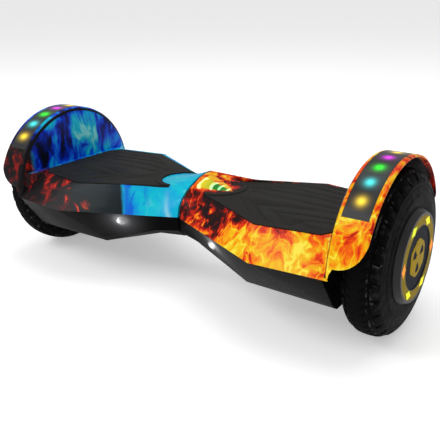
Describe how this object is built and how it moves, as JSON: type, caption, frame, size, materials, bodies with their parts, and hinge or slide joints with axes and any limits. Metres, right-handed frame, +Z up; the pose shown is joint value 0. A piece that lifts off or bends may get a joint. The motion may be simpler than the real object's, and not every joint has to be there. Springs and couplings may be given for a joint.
{
  "type": "self-balancing board",
  "caption": "Two-wheel self-balancing board: two twisting half decks with foot pads, lit wheel arches, hub-motor wheels and a centre pivot.",
  "frame": {"origin": "on the floor, midway between the two wheels", "axes": "+X along the wheel axle towards the right half, +Y to the rear, +Z up"},
  "size_m": [0.631, 0.252, 0.2209],
  "materials": {
    "decal_fire": "glossy printed flame pattern",
    "decal_ice": "glossy printed blue flame pattern",
    "black_plastic": "satin moulded black",
    "grey_plastic": "satin",
    "pad_rubber": "matt moulded rubber",
    "tyre_rubber": "matt solid rubber",
    "smoked_lens": "smoked translucent plastic over lit lamps",
    "led_board": "flexible lamp strip",
    "clear_lens": "clear moulded lens, lit white",
    "status_lens": "translucent, lit green",
    "gold_lens": "translucent gold ring, lit from behind",
    "badge_plastic": "glossy dark disc with a plain gold three-spoke ornament",
    "grey_metal": "satin dark grey",
    "black_metal": "satin black",
    "cast_aluminium": "as cast, machined seats",
    "bright_steel": "ground",
    "dark_steel": "black oxide",
    "bronze": "sintered",
    "white_nylon": "natural nylon",
    "copper_wire": "enamelled copper",
    "cable_jacket": "flexible jacket",
    "battery_wrap": "shrink wrap",
    "green_board": "solder mask"
  },
  "bodies": {
    "left_deck": {"left_top_shell": "decal_ice", "left_bottom_shell": "black_plastic", "left_fender_light": "smoked_lens", "left_fender_leds": "led_board", "left_headlight": "clear_lens", "left_chassis": "cast_aluminium", "left_gyro_board": "green_board", "left_axle_clamp": "cast_aluminium", "left_clamp_bolts": "dark_steel", "left_shell_screws": "dark_steel", "left_motor_cable": "cable_jacket", "left_axle": "bright_steel", "left_stator": "dark_steel", "left_windings": "copper_wire", "battery_pack": "battery_wrap", "pivot_shaft": "bright_steel", "pivot_circlip": "dark_steel", "pivot_washer": "white_nylon", "wire_harness": "cable_jacket"},
    "right_deck": {"right_top_shell": "decal_fire", "right_bottom_shell": "black_plastic", "right_fender_light": "smoked_lens", "right_fender_leds": "led_board", "right_headlight": "clear_lens", "right_chassis": "cast_aluminium", "right_gyro_board": "green_board", "right_axle_clamp": "cast_aluminium", "right_clamp_bolts": "dark_steel", "right_shell_screws": "dark_steel", "right_motor_cable": "cable_jacket", "right_axle": "bright_steel", "right_stator": "dark_steel", "right_windings": "copper_wire", "main_board": "green_board", "speaker": "black_plastic", "status_light": "status_lens", "charge_socket": "black_plastic", "pivot_bushes": "bronze"},
    "left_wheel": {"left_tyre": "tyre_rubber", "left_rotor_ring": "bright_steel", "left_magnets": "dark_steel", "left_inner_cover": "black_metal", "left_hub_cap": "grey_metal", "left_hub_light": "gold_lens", "left_hub_badge": "badge_plastic", "left_bearings": "bright_steel"},
    "right_wheel": {"right_tyre": "tyre_rubber", "right_rotor_ring": "bright_steel", "right_magnets": "dark_steel", "right_inner_cover": "black_metal", "right_hub_cap": "grey_metal", "right_hub_light": "gold_lens", "right_hub_badge": "badge_plastic", "right_bearings": "bright_steel"},
    "left_pad": {"left_foot_pad": "pad_rubber"},
    "right_pad": {"right_foot_pad": "pad_rubber"},
    "power_button": {"power_button": "grey_plastic"},
    "charge_cap": {"charge_cap": "pad_rubber"}
  },
  "joints": [
    {"name": "centre_pivot", "type": "hinge", "parent": "left_deck", "child": "right_deck", "pos_m": [0, 0, 0.1025], "axis": [1, 0, 0], "range_deg": [-15, 15]},
    {"name": "left_wheel_spin", "type": "hinge", "parent": "left_deck", "child": "left_wheel", "pos_m": [-0.2825, 0, 0.1025], "axis": [1, 0, 0], "continuous": true},
    {"name": "right_wheel_spin", "type": "hinge", "parent": "right_deck", "child": "right_wheel", "pos_m": [0.2825, 0, 0.1025], "axis": [1, 0, 0], "continuous": true},
    {"name": "left_pad_press", "type": "slide", "parent": "left_deck", "child": "left_pad", "axis": [0, 0, 1], "range_m": [-0.0012, 0], "stiffness_N_per_m": 20000, "springref_m": 0.0002},
    {"name": "right_pad_press", "type": "slide", "parent": "right_deck", "child": "right_pad", "axis": [0, 0, 1], "range_m": [-0.0012, 0], "stiffness_N_per_m": 20000, "springref_m": 0.0002},
    {"name": "power_button_press", "type": "slide", "parent": "right_deck", "child": "power_button", "axis": [0, 0.7166, -0.6974], "range_m": [-0.0015, 0], "stiffness_N_per_m": 600, "springref_m": 0.0005},
    {"name": "charge_cap_hinge", "type": "hinge", "parent": "right_deck", "child": "charge_cap", "pos_m": [0.208, 0.11048, 0.08359], "axis": [1, 0, 0], "range_deg": [0, 110]}
  ]
}
